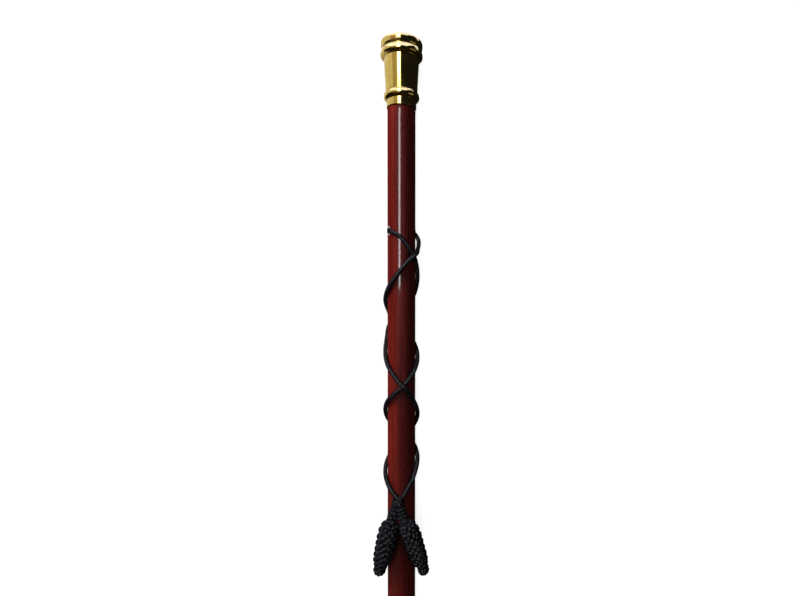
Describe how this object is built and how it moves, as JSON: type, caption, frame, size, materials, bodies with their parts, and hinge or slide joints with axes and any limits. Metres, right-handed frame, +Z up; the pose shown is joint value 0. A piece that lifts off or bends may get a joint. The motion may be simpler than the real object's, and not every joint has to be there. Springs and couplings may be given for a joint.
{
  "type": "ceremonial staff",
  "caption": "Round lacquered wood staff of office with a turned brass head and foot, and a black cord wound on it that ends in two plaited tassels.",
  "frame": {"origin": "on the surface that the staff lies on, under the middle of its length", "axes": "+Y along the staff towards its head, +Z up, with the knot and tassels on top"},
  "size_m": [0.0382, 0.9, 0.0353],
  "materials": {
    "wood": "dark red mahogany stain under clear gloss lacquer",
    "brass": "polished turned brass",
    "nickel": "nickel-plated brass, lightly dulled",
    "cord": "black braided cord with a soft sheen"
  },
  "bodies": {
    "root": {"head": "brass", "shaft": "wood", "ferrule": "brass", "eyelet_left": "nickel", "eyelet_right": "nickel", "cord": "cord", "knot": "cord", "tassel_left": "cord", "tassel_right": "cord"}
  },
  "joints": []
}
